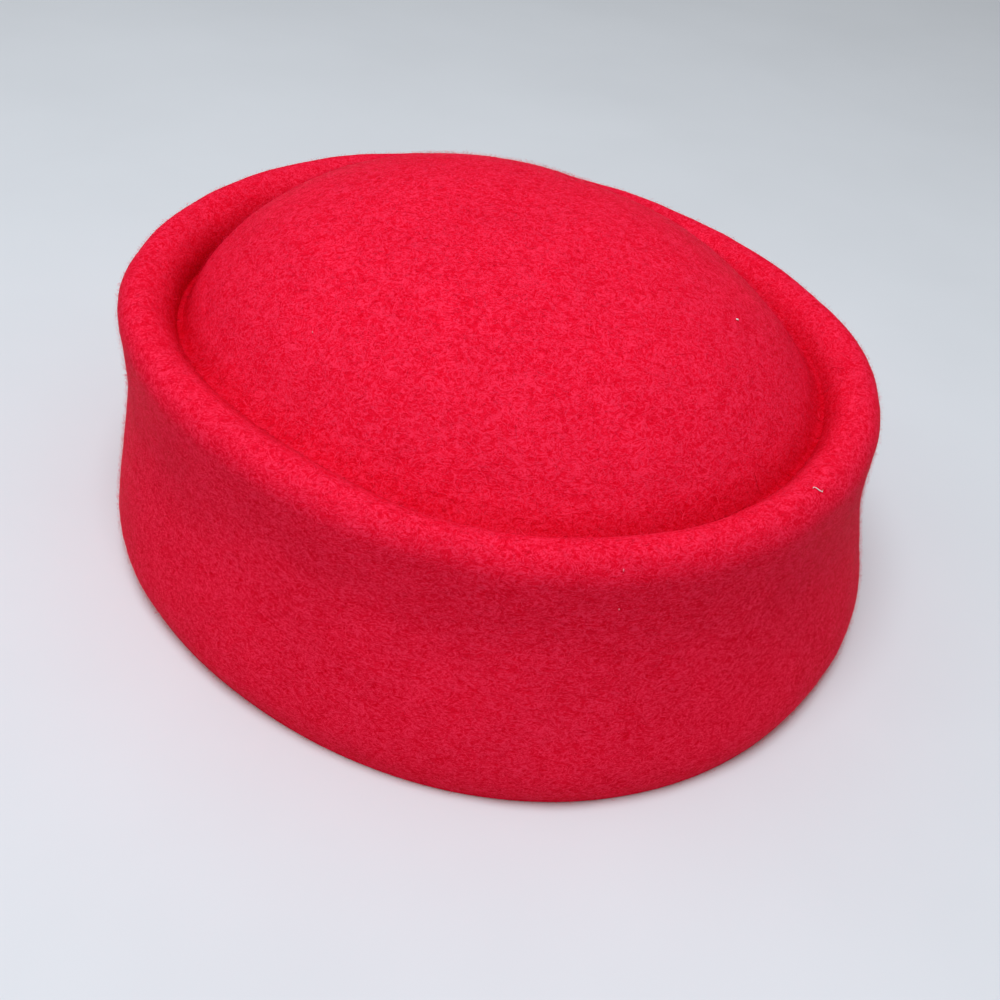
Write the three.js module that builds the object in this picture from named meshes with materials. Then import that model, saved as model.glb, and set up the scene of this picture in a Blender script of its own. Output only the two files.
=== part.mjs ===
// Pillbox hat, blocked in one piece from a body of wool felt: a side band with a drawn-in waist,
// a rolled rim standing up all round, a groove inside it and a domed crown, hollow underneath.
// Millimetres, +Z up. The front of the hat faces -Y, and the origin lies on the surface that the
// hat rests on, under the middle of its plan.
import * as THREE from 'three';

// Plan at the lower bulge of the side band. Power 2 is an ellipse, and more is squarer
const LENGTH = 197;
const WIDTH = 185;
const OVAL_POWER = 2.15;

// Thickness of the felt
const FELT = 2.4;

// Side band: height of the rim's crest, and how far the bottom edge, the waist and the shoulder
// under the rim stand in from the lower bulge
const RIM_HEIGHT = 65;
const EDGE_CURL = 2;
const WAIST_DEPTH = 6;
const SHOULDER_INSET = 5.5;

// Rim: from its crest out and down to the shoulder, and from its crest in to the groove's wall
const RIM_OUTER_WIDTH = 5;
const RIM_OUTER_DROP = 6;
const RIM_INNER_WIDTH = 8.1;

// Groove between rim and crown: depth below the crest at the back, at the sides and at the front,
// radius of its floor as it is drawn, the height over which that floor is then softened, and how
// fast the softening fades out up the crown
const GROOVE_DEPTH = 12;
const GROOVE_DEPTH_SIDES = 4.5;
const GROOVE_DEPTH_FRONT = 7.5;
const GROOVE_RADIUS = 0.5;
const GROOVE_SOFTNESS = 2;
const GROOVE_FADE_POWER = 4;

// Crown: height of its top above the rim's crest, how flat its top is, and how round its edge is
const CROWN_RISE = 22.5;
const CROWN_FLATNESS = 3;
const CROWN_EDGE_POWER = 1.45;

// The band leans back by this much at the rim's crest, and the crest is this much higher at the
// back, and lower at the front, than at the sides
const LEAN_BACK = 3.5;
const BACK_RISE = 3.2;

// Fineness of the faceted surface
const SEGMENTS = 72;
const BAND_STEPS = 11;
const ARC_STEPS = 4;
const FLOOR_STEPS = 4;
const CROWN_STEPS = 9;

// Sections of the side band's outer skin, from the bottom up. height is a share of the band's
// height up to the shoulder, and inset is how far the section stands in from the lower bulge
const BAND_SECTIONS = [
  { name: 'bottom edge', height: 0, inset: EDGE_CURL },
  { name: 'lower bulge', height: 0.12, inset: 0 },
  { name: 'waist', height: 0.7, inset: WAIST_DEPTH },
  { name: 'shoulder', height: 1, inset: SHOULDER_INSET },
];

// The outer skin's profile is a list of rows. inset is how far a row stands in from the bulge,
// share is 1 outside the crown and falls to 0 at its top, and height is above the bottom edge

function bandProfile() {
  const shoulderHeight = RIM_HEIGHT - RIM_OUTER_DROP;
  const points = BAND_SECTIONS.map(
    (section) => new THREE.Vector3(section.inset, section.height * shoulderHeight, 0),
  );
  const curve = new THREE.CatmullRomCurve3(points, false, 'centripetal');
  return curve.getPoints(BAND_STEPS).map((point) => ({ inset: point.x, height: point.y, share: 1 }));
}

function quarterTurns(steps) {
  return Array.from({ length: steps }, (_, step) => (Math.PI / 2) * ((step + 1) / steps));
}

const CREST_INSET = SHOULDER_INSET + RIM_OUTER_WIDTH;

function rimProfile() {
  const outer = quarterTurns(ARC_STEPS).map((turn) => ({
    inset: CREST_INSET - RIM_OUTER_WIDTH * Math.cos(turn),
    height: RIM_HEIGHT - RIM_OUTER_DROP * (1 - Math.sin(turn)),
    share: 1,
  }));
  const inner = quarterTurns(ARC_STEPS).map((turn) => ({
    inset: CREST_INSET + RIM_INNER_WIDTH * Math.sin(turn),
    height: RIM_HEIGHT - (GROOVE_DEPTH - GROOVE_RADIUS) * (1 - Math.cos(turn)),
    share: 1,
  }));
  return [...outer, ...inner];
}

const GROOVE_INSET = CREST_INSET + RIM_INNER_WIDTH;
const CROWN_INSET = GROOVE_INSET + 2 * GROOVE_RADIUS;
const CROWN_FOOT_HEIGHT = RIM_HEIGHT - GROOVE_DEPTH + GROOVE_RADIUS;

function grooveProfile() {
  return Array.from({ length: FLOOR_STEPS }, (_, step) => {
    const turn = Math.PI * ((step + 1) / FLOOR_STEPS);
    return {
      inset: GROOVE_INSET + GROOVE_RADIUS * (1 - Math.cos(turn)),
      height: CROWN_FOOT_HEIGHT - GROOVE_RADIUS * Math.sin(turn),
      share: 1,
    };
  });
}

function crownProfile() {
  const crownHeight = RIM_HEIGHT + CROWN_RISE - CROWN_FOOT_HEIGHT;
  // Steps are closer together near the crown's steep edge
  const crowding = 1.6;
  return Array.from({ length: CROWN_STEPS }, (_, step) => {
    const share = 1 - ((step + 1) / CROWN_STEPS) ** crowding;
    const bow = (1 - share ** CROWN_FLATNESS) ** (1 / CROWN_EDGE_POWER);
    return { inset: CROWN_INSET, height: CROWN_FOOT_HEIGHT + crownHeight * bow, share };
  });
}

function grooveDepth(angle) {
  const along = Math.sin(angle);
  const endDepth = along > 0 ? GROOVE_DEPTH : GROOVE_DEPTH_FRONT;
  return GROOVE_DEPTH_SIDES + (endDepth - GROOVE_DEPTH_SIDES) * along ** 2;
}

// Height of a row above the crest once the groove has a soft floor at the given depth: the crest
// and what lies well above it stay, and what lies deeper than the floor is raised to it
function softenedHeight(above, depth) {
  function raised(height) {
    return GROOVE_SOFTNESS * Math.log1p(Math.exp((height + depth) / GROOVE_SOFTNESS)) - depth;
  }
  return raised(above) - raised(0);
}

// How far a row is raised at one angle, which fades out towards the crown's top
function grooveFill(row, angle) {
  if (row.inset <= CREST_INSET) {
    return 0;
  }
  const above = row.height - RIM_HEIGHT;
  const fade = row.share ** GROOVE_FADE_POWER;
  return fade * (softenedHeight(above, grooveDepth(angle)) - above);
}

// A point of the skin at one row of the profile and one angle, with the hat's lean and rise
function skinPoint(row, angle) {
  const halfWidth = WIDTH / 2 - row.inset;
  const halfLength = LENGTH / 2 - row.inset;
  const across = Math.abs(Math.cos(angle) / halfWidth) ** OVAL_POWER;
  const along = Math.abs(Math.sin(angle) / halfLength) ** OVAL_POWER;
  const radius = row.share * (across + along) ** (-1 / OVAL_POWER);
  const x = radius * Math.cos(angle);
  const y = radius * Math.sin(angle);
  const height = row.height + grooveFill(row, angle);
  const climb = height / RIM_HEIGHT;
  return new THREE.Vector3(
    x,
    y + LEAN_BACK * climb,
    height + BACK_RISE * climb * (y / (LENGTH / 2)),
  );
}

function outerRings() {
  const profile = [...bandProfile(), ...rimProfile(), ...grooveProfile(), ...crownProfile()];
  return profile.map((row) =>
    Array.from({ length: SEGMENTS }, (_, k) => skinPoint(row, (2 * Math.PI * k) / SEGMENTS)),
  );
}

// The outward normal at each point of the rings, from the points on either side of it
function ringNormals(rings) {
  const normals = rings.slice(0, -1).map((ring, r) =>
    ring.map((_, k) => {
      const next = ring[(k + 1) % SEGMENTS];
      const previous = ring[(k + SEGMENTS - 1) % SEGMENTS];
      const around = next.clone().sub(previous);
      const upward = rings[r + 1][k].clone().sub(rings[Math.max(r - 1, 0)][k]);
      return around.cross(upward).normalize();
    }),
  );
  // The bottom edge is cut square, so its normal is level, and the crown's top takes the mean
  normals[0].forEach((normal) => normal.setZ(0).normalize());
  const top = new THREE.Vector3();
  normals[normals.length - 1].forEach((normal) => top.add(normal));
  top.normalize();
  normals.push(Array.from({ length: SEGMENTS }, () => top));
  return normals;
}

// One closed wall: the outer skin, the inner skin a felt's thickness behind it, and the flat
// bottom edge that joins them
function feltGeometry() {
  const outer = outerRings();
  const normals = ringNormals(outer);
  const inner = outer.map((ring, r) =>
    ring.map((point, k) => point.clone().addScaledVector(normals[r][k], -FELT)),
  );
  const positions = [];
  const faces = [];

  // The last ring of a skin is the single point at the top of the crown
  function addSkin(rings) {
    const first = positions.length / 3;
    rings.slice(0, -1).forEach((ring) => ring.forEach((p) => positions.push(p.x, p.y, p.z)));
    const top = rings[rings.length - 1][0];
    positions.push(top.x, top.y, top.z);
    return first;
  }

  function addQuad(a, b, c, d) {
    faces.push(a, b, c, a, c, d);
  }

  const rows = outer.length - 1;
  const outerFirst = addSkin(outer);
  const innerFirst = addSkin(inner);
  const outerTop = outerFirst + rows * SEGMENTS;
  const innerTop = innerFirst + rows * SEGMENTS;
  for (let k = 0; k < SEGMENTS; k += 1) {
    const n = (k + 1) % SEGMENTS;
    for (let r = 0; r < rows - 1; r += 1) {
      const low = r * SEGMENTS;
      const high = low + SEGMENTS;
      addQuad(outerFirst + low + k, outerFirst + low + n, outerFirst + high + n, outerFirst + high + k);
      addQuad(innerFirst + low + n, innerFirst + low + k, innerFirst + high + k, innerFirst + high + n);
    }
    const last = (rows - 1) * SEGMENTS;
    faces.push(outerFirst + last + k, outerFirst + last + n, outerTop);
    faces.push(innerFirst + last + n, innerFirst + last + k, innerTop);
    addQuad(outerFirst + n, outerFirst + k, innerFirst + k, innerFirst + n);
  }

  const geometry = new THREE.BufferGeometry();
  geometry.setAttribute('position', new THREE.Float32BufferAttribute(positions, 3));
  geometry.setIndex(faces);
  return geometry;
}

function feltShell() {
  const geometry = feltGeometry();
  geometry.computeBoundingBox();
  const centre = geometry.boundingBox.getCenter(new THREE.Vector3());
  geometry.translate(-centre.x, -centre.y, 0);
  geometry.computeVertexNormals();
  const felt = new THREE.MeshStandardMaterial({
    name: 'red_wool_felt',
    color: 0xd81c38,
    roughness: 0.95,
    metalness: 0,
  });
  const mesh = new THREE.Mesh(geometry, felt);
  mesh.name = 'felt_shell';
  return mesh;
}

const pillboxHat = new THREE.Group();
pillboxHat.name = 'pillbox_hat';
pillboxHat.add(feltShell());

export default pillboxHat;
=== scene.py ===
import math

import bpy
import numpy as np
from mathutils import Matrix, Vector


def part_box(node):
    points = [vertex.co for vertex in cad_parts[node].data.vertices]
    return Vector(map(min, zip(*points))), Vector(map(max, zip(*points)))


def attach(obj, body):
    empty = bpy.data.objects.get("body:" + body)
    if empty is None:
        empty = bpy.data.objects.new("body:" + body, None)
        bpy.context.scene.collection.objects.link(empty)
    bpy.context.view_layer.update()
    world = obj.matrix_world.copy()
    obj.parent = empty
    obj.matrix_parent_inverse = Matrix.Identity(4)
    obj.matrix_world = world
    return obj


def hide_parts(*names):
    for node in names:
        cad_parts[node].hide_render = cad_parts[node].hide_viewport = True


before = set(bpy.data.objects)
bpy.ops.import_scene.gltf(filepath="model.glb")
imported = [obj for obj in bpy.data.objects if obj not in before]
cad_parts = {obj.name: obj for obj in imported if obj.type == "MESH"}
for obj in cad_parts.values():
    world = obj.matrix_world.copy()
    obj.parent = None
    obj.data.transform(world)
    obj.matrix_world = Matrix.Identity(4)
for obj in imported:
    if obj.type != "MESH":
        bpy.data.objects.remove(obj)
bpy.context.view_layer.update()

MM = 0.001
HAT_NODE = "felt_shell"
BODY = "root"
# Name of the point attribute that holds depth in the groove, which the felt's material turns into
# painted shade
PAINTED_SHADE_ATTRIBUTE = "painted_groove_shade"

# Sizes of the hat, as in the solid. The plan comes from the frame's own box
HAT_LOW, HAT_HIGH = (np.array(corner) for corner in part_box(HAT_NODE))
HALF_WIDTH = (HAT_HIGH[0] - HAT_LOW[0]) / 2
HALF_LENGTH = (HAT_HIGH[1] - HAT_LOW[1]) / 2
OVAL_POWER = 2.15
FELT = 2.4 * MM
RIM_HEIGHT = 65 * MM
EDGE_CURL = 2 * MM
WAIST_DEPTH = 6 * MM
SHOULDER_INSET = 5.5 * MM
RIM_OUTER_WIDTH = 5 * MM
RIM_OUTER_DROP = 6 * MM
RIM_INNER_WIDTH = 8.1 * MM
GROOVE_DEPTH = 12 * MM
GROOVE_DEPTH_SIDES = 4.5 * MM
GROOVE_DEPTH_FRONT = 7.5 * MM
GROOVE_RADIUS = 0.5 * MM
GROOVE_SOFTNESS = 2 * MM
GROOVE_FADE_POWER = 4
CROWN_RISE = 22.5 * MM
CROWN_FLATNESS = 3
CROWN_EDGE_POWER = 1.45
LEAN_BACK = 3.5 * MM
BACK_RISE = 3.2 * MM
EDGE_ROUND = 0.5 * MM
CREST_INSET = SHOULDER_INSET + RIM_OUTER_WIDTH

# Side band's sections from the bottom up: share of the height to the shoulder, and inset
BAND_SECTIONS = (
    (0.0, EDGE_CURL),
    (0.12, 0.0),
    (0.70, WAIST_DEPTH),
    (1.0, SHOULDER_INSET),
)

# Fineness of the shell's grid
SEGMENTS = 256
BAND_ROWS = 56
ARC_ROWS = 12
FLOOR_ROWS = 10
CROWN_ROWS = 64
CROWN_CROWDING = 1.6
EDGE_ROWS = 4

# Soft unevenness of hand-blocked felt: wavelength and height of each layer
UNEVEN_LAYERS = (
    (55 * MM, 0.30 * MM),
    (22 * MM, 0.12 * MM),
    (8 * MM, 0.05 * MM),
)

# Noise of the felt's surface, in cycles to the metre. Its wisps are stretched to lie level on the
# side band
WISPS_SCALE = 360
FINE_WISPS_SCALE = 700
TUFTS_SCALE = 650
CLOUDS_SCALE = 60
WISP_STRETCH = (0.85, 0.85, 1.6)
RELIEF_STRENGTH = 0.5
RELIEF_HEIGHT = 0.25 * MM

# Fibres. A matted fibre lies along the surface, and a nap fibre stands off it
MATTED_PIECES = 1
MATTED_FIBRES = 16000
MATTED_LENGTH = 2.2 * MM
MATTED_WIDTH = 0.12 * MM
NAP_PIECES = 3
NAP_FIBRES = 32000
NAP_LENGTH = 1.6 * MM
NAP_WIDTH = 0.042 * MM
INSIDE_SHARE = 0.10

# How far a strand's shading leans up from the surface's own, as fuzz catches light from above
MATTED_CATCH = 0.0
NAP_CATCH = 0.5

# Depth in the groove, as a share of the deepest, from which painted shade darkens the colour of the
# felt and its fibres, depth at which the painted shade is deepest
PAINTED_SHADE_STARTS = 0.15
PAINTED_SHADE_FULL = 0.60

# Colours, linear. The groove's colour is darkened by a painted shade, and the last shade of fibre
# is a painted shade that grows only in the groove
FELT_RED = (0.83, 0.0056, 0.030)
FELT_DEEP = (0.70, 0.0014, 0.013)
FELT_PALE = (0.96, 0.0280, 0.082)
# Painted shade that multiplies the felt's colour deep in the groove
FELT_PAINTED_SHADE = (0.70, 0.22, 0.32)
FIBRE_SHADES = (
    (0.84, 0.006, 0.037),
    (0.94, 0.026, 0.074),
    (0.78, 0.003, 0.024),
    # Painted shade for fibres in the groove
    (0.60, 0.0015, 0.010),
)
FIBRE_SHARES = (0.45, 0.35, 0.2)
LINT_SHADES = {"pale": (0.92, 0.88, 0.88), "pink": (0.95, 0.20, 0.27)}
FLOOR_PALE = (0.72, 0.735, 0.76)
ROOM_CEILING = (0.46, 0.47, 0.48)
ROOM_HORIZON = (0.19, 0.195, 0.20)

# Finish: the soft fuzz of felt hardly glosses at all
SPECULAR_LEVEL = 0.005
FELT_ROUGHNESS = 0.5
FIBRE_ROUGHNESS = 0.6
LINT_ROUGHNESS = 0.8
FLOOR_ROUGHNESS = 0.7

# Lights: how far up, towards the camera and to its right each stands, in metres, then the size of
# its disc, its power and its colour
LIGHTS = {
    "key_light": ((0.88, 0.24, -0.08), 0.5, 5.6, (0.94, 1.0, 1.06)),
    "side_light": ((0.8, 0.0, -0.9), 0.8, 0.8, (0.97, 0.98, 1.0)),
}
LIGHT_TARGET = (0, 0, 40 * MM)
FLOOR_HALF = 3.0

# Camera, at the photograph's angle to the hat
CAMERA_AZIMUTH = math.radians(-55.1)
CAMERA_ELEVATION = math.radians(32.5)
CAMERA_ROLL = math.radians(7.5)
CAMERA_DISTANCE = 313 * MM
CAMERA_PIVOT_HEIGHT = 43 * MM
CAMERA_AIM_RIGHT = math.radians(0.25)
CAMERA_AIM_DOWN = math.radians(5.19)
IMAGE_SIZE = 1000
FOCAL_PIXELS = 1226
SENSOR_WIDTH = 36

# Lint that shows on the felt: pixel of the photograph, length, width and shade
LINT_SPECKS = (
    ((740, 317), 0.7 * MM, 0.60 * MM, "pale"),
    ((819, 485), 2.6 * MM, 0.28 * MM, "pale"),
    ((313, 333), 0.6 * MM, 0.22 * MM, "pink"),
    ((625, 569), 0.5 * MM, 0.30 * MM, "pink"),
    ((622, 611), 0.5 * MM, 0.30 * MM, "pink"),
)


# Camera and lights

def camera_axes():
    """Place of the camera, and its right, up and forward directions."""
    level = math.cos(CAMERA_ELEVATION)
    back = Vector((
        math.sin(CAMERA_AZIMUTH) * level,
        -math.cos(CAMERA_AZIMUTH) * level,
        math.sin(CAMERA_ELEVATION),
    ))
    place = Vector((0, 0, CAMERA_PIVOT_HEIGHT)) + back * CAMERA_DISTANCE
    level_right = (-back).cross(Vector((0, 0, 1))).normalized()
    level_up = back.cross(level_right)
    cosine, sine = math.cos(CAMERA_ROLL), math.sin(CAMERA_ROLL)
    right = level_right * cosine + level_up * sine
    up = level_up * cosine - level_right * sine
    forward = -back - right * math.tan(CAMERA_AIM_RIGHT) - up * math.tan(CAMERA_AIM_DOWN)
    forward.normalize()
    right = (right - forward * right.dot(forward)).normalized()
    up = right.cross(forward)
    return place, right, up, forward


def add_camera():
    place, right, up, forward = camera_axes()
    data = bpy.data.cameras.new("camera")
    data.sensor_width = SENSOR_WIDTH
    data.lens = FOCAL_PIXELS / IMAGE_SIZE * SENSOR_WIDTH
    data.clip_start = 0.01
    camera = bpy.data.objects.new("camera", data)
    turn = Matrix((right, up, -forward)).transposed().to_4x4()
    camera.matrix_world = Matrix.Translation(place) @ turn
    bpy.context.scene.collection.objects.link(camera)
    bpy.context.scene.camera = camera


def project(points):
    """Pixel of each point in the photograph's frame, and its depth."""
    place, right, up, forward = (np.array(v) for v in camera_axes())
    offset = points - place
    depth = offset @ forward
    x = IMAGE_SIZE / 2 + FOCAL_PIXELS * (offset @ right) / depth
    y = IMAGE_SIZE / 2 - FOCAL_PIXELS * (offset @ up) / depth
    return np.stack([x, y], -1), depth


def add_area_light(name, place, size, power, colour):
    data = bpy.data.lights.new(name, "AREA")
    data.shape = "DISK"
    data.size = size
    data.energy = power
    data.color = colour
    light = bpy.data.objects.new(name, data)
    light.location = place
    light.rotation_mode = "QUATERNION"
    light.rotation_quaternion = (Vector(LIGHT_TARGET) - place).to_track_quat("-Z", "Y")
    bpy.context.scene.collection.objects.link(light)


def add_lights():
    """A broad soft light overhead, a little on the camera's side, and a weaker one on its left."""
    _, right, _, forward = camera_axes()
    towards = Vector((-forward.x, -forward.y, 0)).normalized()
    aside = Vector((right.x, right.y, 0)).normalized()
    above = Vector((0, 0, 1))
    for name, ((up, near, across), size, power, colour) in LIGHTS.items():
        add_area_light(name, above * up + towards * near + aside * across, size, power, colour)


def set_world():
    """A soft pale room, brighter overhead than at the horizon."""
    world = bpy.data.worlds.new("studio")
    world.use_nodes = True
    tree = world.node_tree
    direction = tree.nodes.new("ShaderNodeTexCoord").outputs["Generated"]
    parts = tree.nodes.new("ShaderNodeSeparateXYZ")
    tree.links.new(direction, parts.inputs["Vector"])
    sky = add_ramp(tree, parts.outputs["Z"], (
        (0.0, ROOM_HORIZON),
        (0.8, ROOM_CEILING),
    ))
    tree.links.new(sky, tree.nodes["Background"].inputs["Color"])
    bpy.context.scene.world = world
    bpy.context.scene.view_settings.view_transform = "Standard"


# Materials

def new_material(name, colour, roughness):
    material = bpy.data.materials.new(name)
    material.use_nodes = True
    shader = material.node_tree.nodes["Principled BSDF"]
    shader.inputs["Base Color"].default_value = (*colour, 1)
    shader.inputs["Roughness"].default_value = roughness
    shader.inputs["Specular IOR Level"].default_value = SPECULAR_LEVEL
    return material, shader


def add_noise(tree, position, scale, detail, distortion):
    noise = tree.nodes.new("ShaderNodeTexNoise")
    noise.inputs["Scale"].default_value = scale
    noise.inputs["Detail"].default_value = detail
    noise.inputs["Roughness"].default_value = 0.55
    noise.inputs["Distortion"].default_value = distortion
    tree.links.new(position, noise.inputs["Vector"])
    return noise.outputs["Fac"]


def add_ramp(tree, value, stops):
    ramp = tree.nodes.new("ShaderNodeValToRGB")
    while len(ramp.color_ramp.elements) < len(stops):
        ramp.color_ramp.elements.new(0.5)
    for element, (place, colour) in zip(ramp.color_ramp.elements, stops):
        element.position = place
        element.color = (*colour, 1)
    tree.links.new(value, ramp.inputs["Fac"])
    return ramp.outputs["Color"]


def add_mix(tree, share, first, second, blend="MIX"):
    mix = tree.nodes.new("ShaderNodeMix")
    mix.data_type = "RGBA"
    mix.blend_type = blend
    mix.inputs["Factor"].default_value = share
    tree.links.new(first, mix.inputs["A"])
    tree.links.new(second, mix.inputs["B"])
    return mix.outputs["Result"]


def add_bump(tree, height, strength, distance):
    bump = tree.nodes.new("ShaderNodeBump")
    bump.inputs["Strength"].default_value = strength
    bump.inputs["Distance"].default_value = distance
    tree.links.new(height, bump.inputs["Height"])
    return bump.outputs["Normal"]


def add_wisps(tree, position, scale, distortion, width):
    """Thin curled streaks, 1 along their middle and 0 beside them."""
    noise = add_noise(tree, position, scale, 2, distortion)
    middle = 0.5
    return add_ramp(tree, noise, (
        (middle - width, (0.0,) * 3),
        (middle, (1.0,) * 3),
        (middle + width, (0.0,) * 3),
    ))


def felt_material():
    """Wool felt: cloudy dye, with curled wisps in colour and bump, darkened in the groove by
    painted shade.
    """
    material, shader = new_material("wool_felt", FELT_RED, FELT_ROUGHNESS)
    tree = material.node_tree
    position = tree.nodes.new("ShaderNodeTexCoord").outputs["Object"]
    level = tree.nodes.new("ShaderNodeMapping")
    level.inputs["Scale"].default_value = WISP_STRETCH
    tree.links.new(position, level.inputs["Vector"])
    wisps = add_wisps(tree, level.outputs["Vector"], WISPS_SCALE, 2.2, 0.10)
    finer_wisps = add_wisps(tree, level.outputs["Vector"], FINE_WISPS_SCALE, 2.6, 0.14)
    streaks = add_mix(tree, 0.5, wisps, finer_wisps)
    tufts = add_noise(tree, position, TUFTS_SCALE, 4, 1.2)
    relief = add_mix(tree, 0.45, streaks, tufts)
    clouds = add_noise(tree, position, CLOUDS_SCALE, 3, 0.4)
    shade = add_ramp(tree, relief, ((0.18, FELT_DEEP), (0.42, FELT_RED), (0.72, FELT_PALE)))
    cloud_shade = add_ramp(tree, clouds, ((0.30, (0.94,) * 3), (0.70, (1.0,) * 3)))
    colour = add_mix(tree, 1.0, shade, cloud_shade, "MULTIPLY")
    # Painted shade: the felt's colour darkens with depth in the groove, where shade falls
    painted_groove_shade = tree.nodes.new("ShaderNodeAttribute")
    painted_groove_shade.attribute_name = PAINTED_SHADE_ATTRIBUTE
    groove_painted_shade = add_ramp(
        tree, painted_groove_shade.outputs["Fac"], ((PAINTED_SHADE_STARTS, (1.0,) * 3), (PAINTED_SHADE_FULL, FELT_PAINTED_SHADE)))
    colour = add_mix(tree, 1.0, colour, groove_painted_shade, "MULTIPLY")
    tree.links.new(colour, shader.inputs["Base Color"])
    normal = add_bump(tree, relief, RELIEF_STRENGTH, RELIEF_HEIGHT)
    tree.links.new(normal, shader.inputs["Normal"])
    return material


def fibre_material(number, colour):
    material, _ = new_material(f"wool_fibre_{number}", colour, FIBRE_ROUGHNESS)
    return material


def floor_material():
    material, shader = new_material("pale_floor", FLOOR_PALE, FLOOR_ROUGHNESS)
    tree = material.node_tree
    position = tree.nodes.new("ShaderNodeTexCoord").outputs["Object"]
    mottle = add_noise(tree, position, 9, 4, 0.2)
    light = tuple(1.02 * c for c in FLOOR_PALE)
    dark = tuple(0.98 * c for c in FLOOR_PALE)
    tree.links.new(add_ramp(tree, mottle, ((0.3, dark), (0.7, light))), shader.inputs["Base Color"])
    return material


# The felt's profile: rows of inset from the bulge, height, and share of the radius

def catmull_rom(points, count):
    """Centripetal curve through the points, at evenly spaced parameters."""
    points = np.array(points, float)
    first = 2 * points[0] - points[1]
    last = 2 * points[-1] - points[-2]
    padded = np.vstack([first, points, last])
    place = np.linspace(0, len(points) - 1, count)
    index = np.minimum(place.astype(int), len(points) - 2)
    share = (place - index)[:, None]
    a, b, c, d = (padded[index + k] for k in range(4))
    before, middle, after = (
        np.linalg.norm(q - p, axis=1, keepdims=True) ** 0.5 for p, q in ((a, b), (b, c), (c, d))
    )
    leave = ((b - a) / before - (c - a) / (before + middle) + (c - b) / middle) * middle
    arrive = ((c - b) / middle - (d - b) / (middle + after) + (d - c) / after) * middle
    return (
        b + leave * share + (3 * (c - b) - 2 * leave - arrive) * share ** 2
        + (2 * (b - c) + leave + arrive) * share ** 3
    )


def outer_profile():
    """Columns inset, height and share of the outer skin, from just over the edge to the top."""
    shoulder = RIM_HEIGHT - RIM_OUTER_DROP
    band = catmull_rom([(inset, height * shoulder) for height, inset in BAND_SECTIONS], BAND_ROWS)
    band = band[band[:, 1] >= EDGE_ROUND]
    groove_inset = CREST_INSET + RIM_INNER_WIDTH
    crown_inset = groove_inset + 2 * GROOVE_RADIUS
    foot = RIM_HEIGHT - GROOVE_DEPTH + GROOVE_RADIUS
    turn = np.linspace(0, math.pi / 2, ARC_ROWS + 1)[1:]
    rim_out = np.stack([
        CREST_INSET - RIM_OUTER_WIDTH * np.cos(turn),
        RIM_HEIGHT - RIM_OUTER_DROP * (1 - np.sin(turn)),
    ], -1)
    rim_in = np.stack([
        CREST_INSET + RIM_INNER_WIDTH * np.sin(turn),
        RIM_HEIGHT - (GROOVE_DEPTH - GROOVE_RADIUS) * (1 - np.cos(turn)),
    ], -1)
    round_turn = np.linspace(0, math.pi, FLOOR_ROWS + 1)[1:]
    floor = np.stack([
        groove_inset + GROOVE_RADIUS * (1 - np.cos(round_turn)),
        foot - GROOVE_RADIUS * np.sin(round_turn),
    ], -1)
    outside = np.vstack([band, rim_out, rim_in, floor])
    share = 1 - np.linspace(0, 1, CROWN_ROWS + 1)[1:] ** CROWN_CROWDING
    bow = (1 - share ** CROWN_FLATNESS) ** (1 / CROWN_EDGE_POWER)
    crown_height = foot + (RIM_HEIGHT + CROWN_RISE - foot) * bow
    crown = np.stack([np.full(CROWN_ROWS, crown_inset), crown_height, share], -1)
    outside = np.hstack([outside, np.ones((len(outside), 1))])
    return np.vstack([outside, crown])


def groove_fill(inset, height, share, angle):
    """How far each row is raised at each angle, so that the groove has a soft floor there."""
    along = np.sin(angle)
    end_depth = np.where(along > 0, GROOVE_DEPTH, GROOVE_DEPTH_FRONT)
    depth = GROOVE_DEPTH_SIDES + (end_depth - GROOVE_DEPTH_SIDES) * along ** 2

    def raised(above):
        return GROOVE_SOFTNESS * np.log1p(np.exp((above + depth) / GROOVE_SOFTNESS)) - depth

    above = height - RIM_HEIGHT
    fill = share ** GROOVE_FADE_POWER * (raised(above) - raised(0) - above)
    return np.where(inset > CREST_INSET, fill, 0)


def skin(profile):
    """Grid of points, a row for each row of the profile, and how deep in the groove each lies."""
    angle = np.linspace(0, 2 * math.pi, SEGMENTS, endpoint=False)
    inset, height, share = (profile[:, k, None] for k in range(3))
    height = height + groove_fill(inset, height, share, angle)
    in_groove = np.where(inset > CREST_INSET, (RIM_HEIGHT - height) / GROOVE_DEPTH, 0)
    across = np.abs(np.cos(angle) / (HALF_WIDTH - inset)) ** OVAL_POWER
    along = np.abs(np.sin(angle) / (HALF_LENGTH - inset)) ** OVAL_POWER
    radius = share * (across + along) ** (-1 / OVAL_POWER)
    x = radius * np.cos(angle)
    y = radius * np.sin(angle)
    climb = height / RIM_HEIGHT
    z = height + BACK_RISE * climb * y / HALF_LENGTH
    return np.stack([x, y + LEAN_BACK * climb, z], -1), np.clip(in_groove, 0, 1)


def skin_normals(points):
    around = np.roll(points, -1, axis=1) - np.roll(points, 1, axis=1)
    upward = np.empty_like(points)
    upward[1:-1] = points[2:] - points[:-2]
    upward[0] = points[1] - points[0]
    upward[-1] = points[-1] - points[-2]
    normals = np.cross(around, upward)
    normals[-1] = normals[-2].mean(axis=0)
    normals[0, :, 2] = 0
    return normals / np.linalg.norm(normals, axis=2, keepdims=True)


def unevenness(points, rng):
    """Smooth random height at each point, from sine waves in random directions."""
    waves_in_layer = 9
    height = np.zeros(points.shape[:-1])
    for wavelength, size in UNEVEN_LAYERS:
        directions = rng.normal(size=(waves_in_layer, 3))
        directions /= np.linalg.norm(directions, axis=1, keepdims=True)
        for direction in directions:
            phase = rng.uniform(0, 2 * math.pi)
            stretch = rng.uniform(0.7, 1.4)
            turns = 2 * math.pi / (wavelength * stretch)
            height += size * np.sin(points @ direction * turns + phase) / math.sqrt(waves_in_layer)
    return height


# Meshes from arrays

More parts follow.
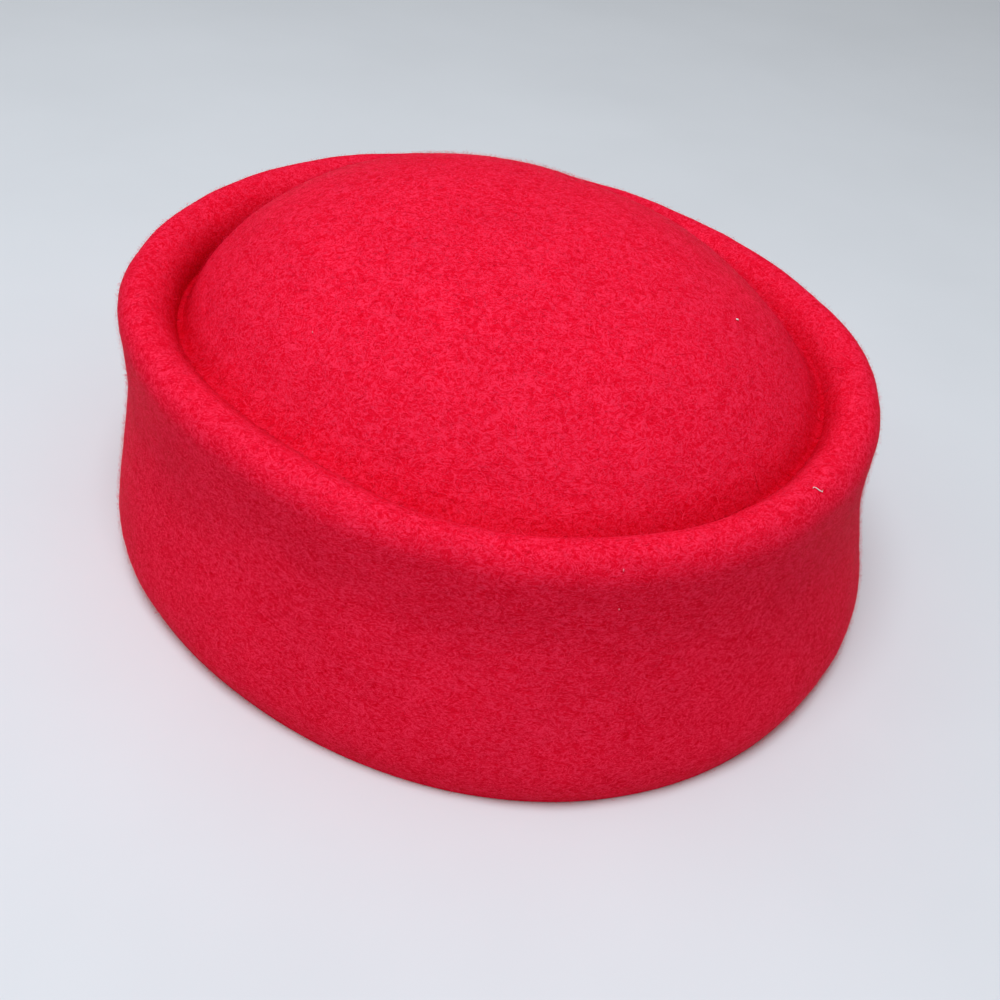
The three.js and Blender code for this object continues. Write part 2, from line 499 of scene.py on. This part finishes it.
def mesh_piece(name, vertices, faces, materials, face_materials=None, normals=None):
    """Mesh object from vertex rows and faces of three or four corners, riding on the hat."""
    mesh = bpy.data.meshes.new(name)
    counts = [len(block[0]) for block in faces for _ in range(len(block))]
    loops = np.concatenate([np.asarray(block).ravel() for block in faces])
    starts = np.concatenate([[0], np.cumsum(counts)[:-1]])
    mesh.vertices.add(len(vertices))
    mesh.vertices.foreach_set("co", np.asarray(vertices, np.float32).ravel())
    mesh.loops.add(len(loops))
    mesh.loops.foreach_set("vertex_index", loops.astype(np.int32))
    mesh.polygons.add(len(counts))
    mesh.polygons.foreach_set("loop_start", starts.astype(np.int32))
    mesh.polygons.foreach_set("use_smooth", np.ones(len(counts), bool))
    for material in materials:
        mesh.materials.append(material)
    if face_materials is not None:
        mesh.polygons.foreach_set("material_index", np.asarray(face_materials, np.int32))
    mesh.update(calc_edges=True)
    mesh.validate()
    if normals is not None:
        mesh.normals_split_custom_set_from_vertices(normals)
    piece = bpy.data.objects.new(name, mesh)
    bpy.context.scene.collection.objects.link(piece)
    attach(piece, BODY)
    return piece


def edge_arc(start, outward, sign):
    """Rows that turn from a wall's lowest ring onto the flat bottom edge."""
    rows = []
    for turn in np.linspace(0, math.pi / 2, EDGE_ROWS + 1)[1:]:
        row = start + sign * outward * EDGE_ROUND * (1 - math.cos(turn))
        row[:, 2] = start[:, 2] - start[:, 2] * math.sin(turn)
        rows.append(row)
    return np.array(rows)


def felt_grid(rng):
    """Outer and inner skin, their normals and depth in the groove, then every row of the closed
    wall from inner to outer top, with the depth in the groove of its points."""
    outer, in_groove = skin(outer_profile())
    centre = (outer.max(axis=(0, 1)) + outer.min(axis=(0, 1))) / 2
    outer[..., :2] -= centre[:2]
    normals = skin_normals(outer)
    inner = outer - FELT * normals
    bumps = unevenness(outer, rng)
    settle = np.clip(outer[..., 2] / (6 * MM), 0, 1)
    outer = outer + normals * (bumps * settle)[..., None]
    inner = inner + normals * (bumps * settle)[..., None]
    outer_arc = edge_arc(outer[0], normals[0], -1)
    inner_arc = edge_arc(inner[0], normals[0], 1)
    rows = np.concatenate([inner[:-1][::-1], inner_arc, outer_arc[::-1], outer[:-1]])
    elsewhere = np.zeros((len(rows) - len(in_groove) + 1, SEGMENTS))
    row_depths = np.concatenate([elsewhere, in_groove[:-1]])
    return outer, inner, normals, in_groove, rows, row_depths


def add_felt(outer, inner, rows, row_depths, material):
    count = len(rows)
    vertices = np.vstack([rows.reshape(-1, 3), inner[-1, 0], outer[-1, 0]])
    inner_top, outer_top = count * SEGMENTS, count * SEGMENTS + 1
    row, column = np.meshgrid(np.arange(count - 1), np.arange(SEGMENTS), indexing="ij")
    here = row * SEGMENTS + column
    beside = row * SEGMENTS + (column + 1) % SEGMENTS
    quads = np.stack([here, beside, beside + SEGMENTS, here + SEGMENTS], -1).reshape(-1, 4)
    column = np.arange(SEGMENTS)
    following = (column + 1) % SEGMENTS
    last = (count - 1) * SEGMENTS
    inner_fan = np.stack([following, column, np.full(SEGMENTS, inner_top)], -1)
    outer_fan = np.stack([last + column, last + following, np.full(SEGMENTS, outer_top)], -1)
    piece = mesh_piece("felt_hat", vertices, [quads, np.vstack([inner_fan, outer_fan])], [material])
    # Depth in the groove at each point, read by the material for its painted shade
    painted_groove_shade = piece.data.attributes.new(PAINTED_SHADE_ATTRIBUTE, "FLOAT", "POINT")
    painted_groove_shade.data.foreach_set("value", np.append(row_depths.ravel(), [0, 0]))
    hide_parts(HAT_NODE)


# Fibres

def sample_cells(points, count, rng):
    """Random cells of a grid, by area, with a random place in each."""
    corner = points[:-1]
    upward = points[1:] - corner
    around = np.roll(corner, -1, axis=1) - corner
    area = np.linalg.norm(np.cross(around, upward), axis=2).ravel()
    cell = rng.choice(len(area), size=count, p=area / area.sum())
    row, column = np.divmod(cell, points.shape[1])
    return row + rng.random(count), column + rng.random(count)


def look_up(grid, row, column):
    """Value of a grid at fractional rows and columns."""
    row = np.clip(row, 0, len(grid) - 1.001)
    low_row = row.astype(int)
    low_column = np.floor(column).astype(int)
    up = (row - low_row)[..., None]
    along = (column - low_column)[..., None]
    first = low_column % grid.shape[1]
    second = (low_column + 1) % grid.shape[1]
    low = grid[low_row, first] * (1 - along) + grid[low_row, second] * along
    high = grid[low_row + 1, first] * (1 - along) + grid[low_row + 1, second] * along
    return low * (1 - up) + high * up


def follow_surface(points, row, column, ahead, side, heading):
    """Rows and columns reached by going ahead and aside over the surface from a start."""
    upward = look_up(points, row + 1, column) - look_up(points, row, column)
    around = look_up(points, row, column + 1) - look_up(points, row, column)
    up_length = np.maximum(np.linalg.norm(upward, axis=-1), 0.05 * MM)
    round_length = np.maximum(np.linalg.norm(around, axis=-1), 0.05 * MM)
    cosine, sine = np.cos(heading), np.sin(heading)
    up_steps = (ahead * cosine[:, None] - side * sine[:, None]) / up_length[:, None]
    round_steps = (ahead * sine[:, None] + side * cosine[:, None]) / round_length[:, None]
    return row[:, None] + up_steps, column[:, None] + round_steps


def strand_mesh(paths, normals, widths, catch=0.0):
    """Vertices and triangles of tapering three-sided strands, flat side down, along the paths."""
    count, steps, _ = paths.shape
    along = np.gradient(paths, axis=1)
    across = np.cross(along, normals)
    across /= np.maximum(np.linalg.norm(across, axis=2, keepdims=True), 1e-9)
    outward = np.cross(across, along)
    outward /= np.maximum(np.linalg.norm(outward, axis=2, keepdims=True), 1e-9)
    half = widths[:, None, None] / 2
    middle = paths[:, 1:-1]
    left = middle - across[:, 1:-1] * half
    right = middle + across[:, 1:-1] * half
    crest = middle + outward[:, 1:-1] * half * 0.4
    rings = np.stack([left, right, crest], axis=2).reshape(count, -1, 3)
    # Strands shade almost as the felt under them does, as a mat of soft fibres would
    up = normals[:, 1:-1]
    ring_normals = np.stack([up - 0.3 * across[:, 1:-1], up + 0.3 * across[:, 1:-1], up], axis=2)
    ring_normals = ring_normals.reshape(count, -1, 3)
    vertices = np.concatenate([paths[:, :1], rings, paths[:, -1:]], axis=1)
    shading = np.concatenate([normals[:, :1], ring_normals, normals[:, -1:]], axis=1)
    shading = shading + np.array([0, 0, catch])
    shading /= np.linalg.norm(shading, axis=2, keepdims=True)
    inner = steps - 2
    tip = 1 + 3 * inner
    faces = []
    for k in range(3):
        following = (k + 1) % 3
        faces.append((0, 1 + k, 1 + following))
        for ring in range(inner - 1):
            low, high = 1 + 3 * ring, 4 + 3 * ring
            faces.append((low + k, high + following, low + following))
            faces.append((low + k, high + k, high + following))
        faces.append((tip, tip - 3 + following, tip - 3 + k))
    faces = np.array(faces)
    offsets = np.arange(count)[:, None, None] * vertices.shape[1]
    faces_each = len(faces)
    return vertices.reshape(-1, 3), (faces[None] + offsets).reshape(-1, 3), shading, faces_each


def matted_paths(points, normals, row, column, rng):
    """Fibres lying along the felt, bent sideways, with their ends tucked in."""
    count = len(row)
    length = MATTED_LENGTH * rng.uniform(0.5, 1.5, count)
    bend = length * rng.normal(0, 0.10, count)
    wave = length * rng.normal(0, 0.05, count)
    reach = np.array([-0.5, -0.18, 0.18, 0.5])
    ahead = length[:, None] * reach
    side = bend[:, None] * (1 - 4 * reach ** 2) + wave[:, None] * 4 * reach * (1 - 4 * reach ** 2)
    heading = rng.uniform(0, 2 * math.pi, count)
    rows, columns = follow_surface(points, row, column, ahead, side, heading)
    lift = np.stack([
        rng.uniform(-0.08, 0.0, count),
        rng.uniform(0.01, 0.05, count),
        rng.uniform(0.01, 0.05, count),
        rng.uniform(-0.08, 0.0, count),
    ], -1) * MM
    up = look_up(normals, rows, columns)
    return look_up(points, rows, columns) + up * lift[..., None], up


def nap_paths(points, normals, row, column, rng):
    """Short fibres that stand off the felt and lean over."""
    count = len(row)
    length = NAP_LENGTH * rng.uniform(0.4, 1.6, count)
    lean = rng.uniform(0.95, 1.4, count)
    heading = rng.uniform(0, 2 * math.pi, count)
    ahead = (length * np.sin(lean))[:, None] * np.array([0, 0.35, 1.0])
    side = (length * rng.normal(0, 0.2, count))[:, None] * np.array([0, 1.0, 0.3])
    rows, columns = follow_surface(points, row, column, ahead, side, heading)
    lift = (length * np.cos(lean))[:, None] * np.array([-0.1, 0.6, 1.0])
    up = look_up(normals, rows, columns)
    return look_up(points, rows, columns) + up * lift[..., None], up


def add_fibres(name, make_paths, count, width, catch, skins, materials, rng):
    inside = int(count * INSIDE_SHARE)
    paths, ups, depths = [], [], []
    for (points, normals, in_groove), number in zip(skins, (count - inside, inside)):
        row, column = sample_cells(points, number, rng)
        path, up = make_paths(points, normals, row, column, rng)
        paths.append(path)
        ups.append(up)
        depths.append(look_up(in_groove[..., None], row, column)[:, 0])
    paths, ups, depths = (np.concatenate(parts) for parts in (paths, ups, depths))
    paths[..., 2] = np.maximum(paths[..., 2], 0.1 * MM)
    widths = width * rng.uniform(0.6, 1.4, count)
    vertices, faces, shading, faces_each = strand_mesh(paths, ups, widths, catch)
    vertices[:, 2] = np.maximum(vertices[:, 2], 0.05 * MM)
    shade = rng.choice(len(FIBRE_SHARES), size=count, p=FIBRE_SHARES)
    # Painted shade: the deeper in the groove a fibre grows, the more often it takes the last,
    # darkest shade
    painted_shade_share = np.clip((depths - PAINTED_SHADE_STARTS) / (PAINTED_SHADE_FULL - PAINTED_SHADE_STARTS), 0, 1)
    shade = np.where(rng.random(count) < painted_shade_share, len(FIBRE_SHARES), shade)
    mesh_piece(
        name, vertices, [faces], materials, np.repeat(shade, faces_each), shading.reshape(-1, 3))


# Lint

def add_lint(points, normals, rng):
    """Specks and a curl of pale lint where the photograph shows them."""
    pixels, depth = project(points)
    place = np.array(camera_axes()[0])
    facing = np.einsum("ijk,ijk->ij", normals, place - points) > 0
    paths, ups = [], []
    turns = np.linspace(-0.5, 0.5, 6)
    for pixel, length, _, _ in LINT_SPECKS:
        away = np.linalg.norm(pixels - np.array(pixel), axis=2)
        reach = np.where(facing & (away < 6), depth + away * 0.2 * MM, np.inf)
        row, column = np.unravel_index(np.argmin(reach), reach.shape)
        ahead = (length * turns)[None]
        side = (length * 0.25 * np.sin(turns * 6))[None]
        start = np.array([float(row)]), np.array([float(column)])
        rows, columns = follow_surface(points, *start, ahead, side, rng.uniform(0, 6, 1))
        up = look_up(normals, rows, columns)
        paths.append(look_up(points, rows, columns) + up * 0.3 * MM)
        ups.append(up)
    widths = np.array([width for _, _, width, _ in LINT_SPECKS])
    vertices, faces, _, faces_each = strand_mesh(np.concatenate(paths), np.concatenate(ups), widths)
    lint = [
        new_material(f"{name}_lint", colour, LINT_ROUGHNESS)[0]
        for name, colour in LINT_SHADES.items()
    ]
    shade = [list(LINT_SHADES).index(name) for _, _, _, name in LINT_SPECKS]
    mesh_piece("lint", vertices, [faces], lint, np.repeat(shade, faces_each))


# The scene

def add_floor():
    mesh = bpy.data.meshes.new("floor")
    half = FLOOR_HALF
    corners = [(-half, -half, 0), (half, -half, 0), (half, half, 0), (-half, half, 0)]
    mesh.from_pydata(corners, [], [(0, 1, 2, 3)])
    mesh.materials.append(floor_material())
    floor = bpy.data.objects.new("floor", mesh)
    bpy.context.scene.collection.objects.link(floor)


def main():
    add_camera()
    add_lights()
    set_world()
    add_floor()
    rng = np.random.default_rng(7)
    outer, inner, normals, in_groove, rows, row_depths = felt_grid(rng)
    add_felt(outer, inner, rows, row_depths, felt_material())
    skins = ((outer, normals, in_groove), (inner, -normals, np.zeros_like(in_groove)))
    fibres = [fibre_material(n, colour) for n, colour in enumerate(FIBRE_SHADES)]
    for number in range(MATTED_PIECES):
        name = f"matted_fibres_{number + 1}"
        add_fibres(
            name, matted_paths, MATTED_FIBRES, MATTED_WIDTH, MATTED_CATCH, skins, fibres, rng)
    for number in range(NAP_PIECES):
        name = f"nap_fibres_{number + 1}"
        add_fibres(name, nap_paths, NAP_FIBRES, NAP_WIDTH, NAP_CATCH, skins, fibres, rng)
    add_lint(outer, normals, rng)


main()
